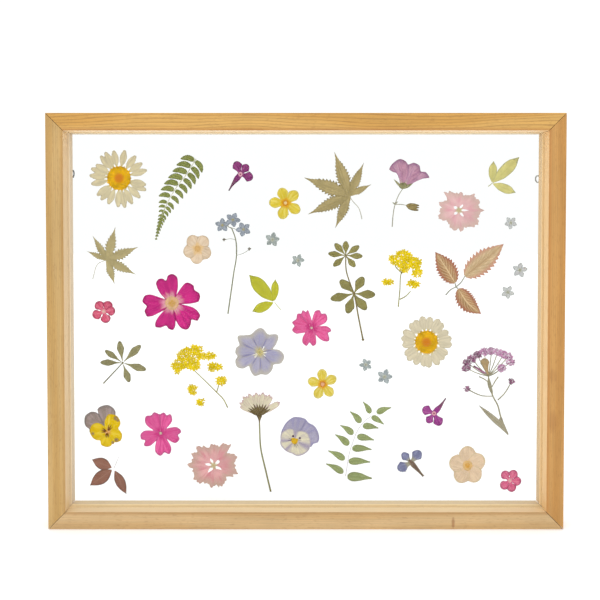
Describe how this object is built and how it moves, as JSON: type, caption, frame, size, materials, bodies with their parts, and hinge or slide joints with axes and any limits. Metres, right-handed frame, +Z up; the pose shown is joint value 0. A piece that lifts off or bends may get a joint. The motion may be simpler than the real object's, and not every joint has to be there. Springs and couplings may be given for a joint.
{
  "type": "pressed flower frame",
  "caption": "Mitred wooden frame that clamps pressed flowers and leaves between clear panes, so the light shows through. Stands on its edge or hangs from screw eyes.",
  "frame": {"origin": "middle of the bottom rail's underside, which the frame stands on", "axes": "+X to the right along the frame's width, +Z up, the front and its panes face -Y"},
  "size_m": [0.37, 0.0345, 0.298],
  "materials": {
    "frame_wood": "oiled pale hardwood",
    "strip_wood": "bare pale hardwood",
    "pane_glass": "clear float glass",
    "nickel_wire": "nickel-plated steel wire",
    "white_petal": "dried petal, matt",
    "yellow_petal": "dried petal, matt",
    "beige_petal": "dried petal, matt",
    "blush_petal": "dried petal, matt",
    "pink_petal": "dried petal, matt",
    "magenta_petal": "dried petal, matt",
    "purple_petal": "dried petal, matt",
    "mauve_petal": "dried petal, matt",
    "lavender_petal": "dried petal, matt",
    "slate_petal": "dried petal, matt",
    "fern_leaf": "dried leaf, matt",
    "pale_leaf": "dried leaf, matt",
    "lime_leaf": "dried leaf, matt",
    "sage_leaf": "dried leaf, matt",
    "khaki_leaf": "dried leaf, matt",
    "olive_leaf": "dried leaf, matt",
    "russet_leaf": "dried leaf, matt",
    "maroon_leaf": "dried leaf, matt"
  },
  "bodies": {
    "root": {"top_rail": "frame_wood", "bottom_rail": "frame_wood", "left_rail": "frame_wood", "right_rail": "frame_wood", "top_strip": "strip_wood", "bottom_strip": "strip_wood", "left_strip": "strip_wood", "right_strip": "strip_wood", "front_pane": "pane_glass", "back_pane": "pane_glass", "left_screw_eye": "nickel_wire", "right_screw_eye": "nickel_wire", "daisy_upper_left": "white_petal", "daisy_right": "white_petal", "side_daisy": "white_petal", "fern_frond": "fern_leaf", "purple_flower_upper": "purple_petal", "purple_flower_lower": "purple_petal", "umbel_sprig": "purple_petal", "yellow_flower_upper": "yellow_petal", "yellow_flower_lower": "yellow_petal", "yellow_sprig_upper": "yellow_petal", "yellow_sprig_lower": "yellow_petal", "pansy": "yellow_petal", "maple_leaf_large": "khaki_leaf", "maple_leaf_small": "khaki_leaf", "bellflower": "mauve_petal", "larkspur_upper": "blush_petal", "larkspur_lower": "blush_petal", "pale_leaf_trio": "pale_leaf", "lime_leaf_trio": "lime_leaf", "russet_leaf_trio": "russet_leaf", "maroon_leaf_trio": "maroon_leaf", "blossom_upper": "beige_petal", "blossom_lower": "beige_petal", "forget_me_not_sprig": "slate_petal", "blue_flower": "slate_petal", "floret_1": "slate_petal", "floret_2": "slate_petal", "floret_3": "slate_petal", "floret_4": "slate_petal", "floret_5": "slate_petal", "floret_6": "slate_petal", "floret_7": "slate_petal", "woodruff_sprig": "olive_leaf", "olive_leaf_sprig": "olive_leaf", "pinnate_leaf": "sage_leaf", "red_flower_left": "pink_petal", "red_flower_right": "pink_petal", "pink_flower_middle": "pink_petal", "pink_flower_lower": "pink_petal", "magenta_rose": "magenta_petal", "delphinium": "lavender_petal", "viola": "lavender_petal"}
  },
  "joints": []
}
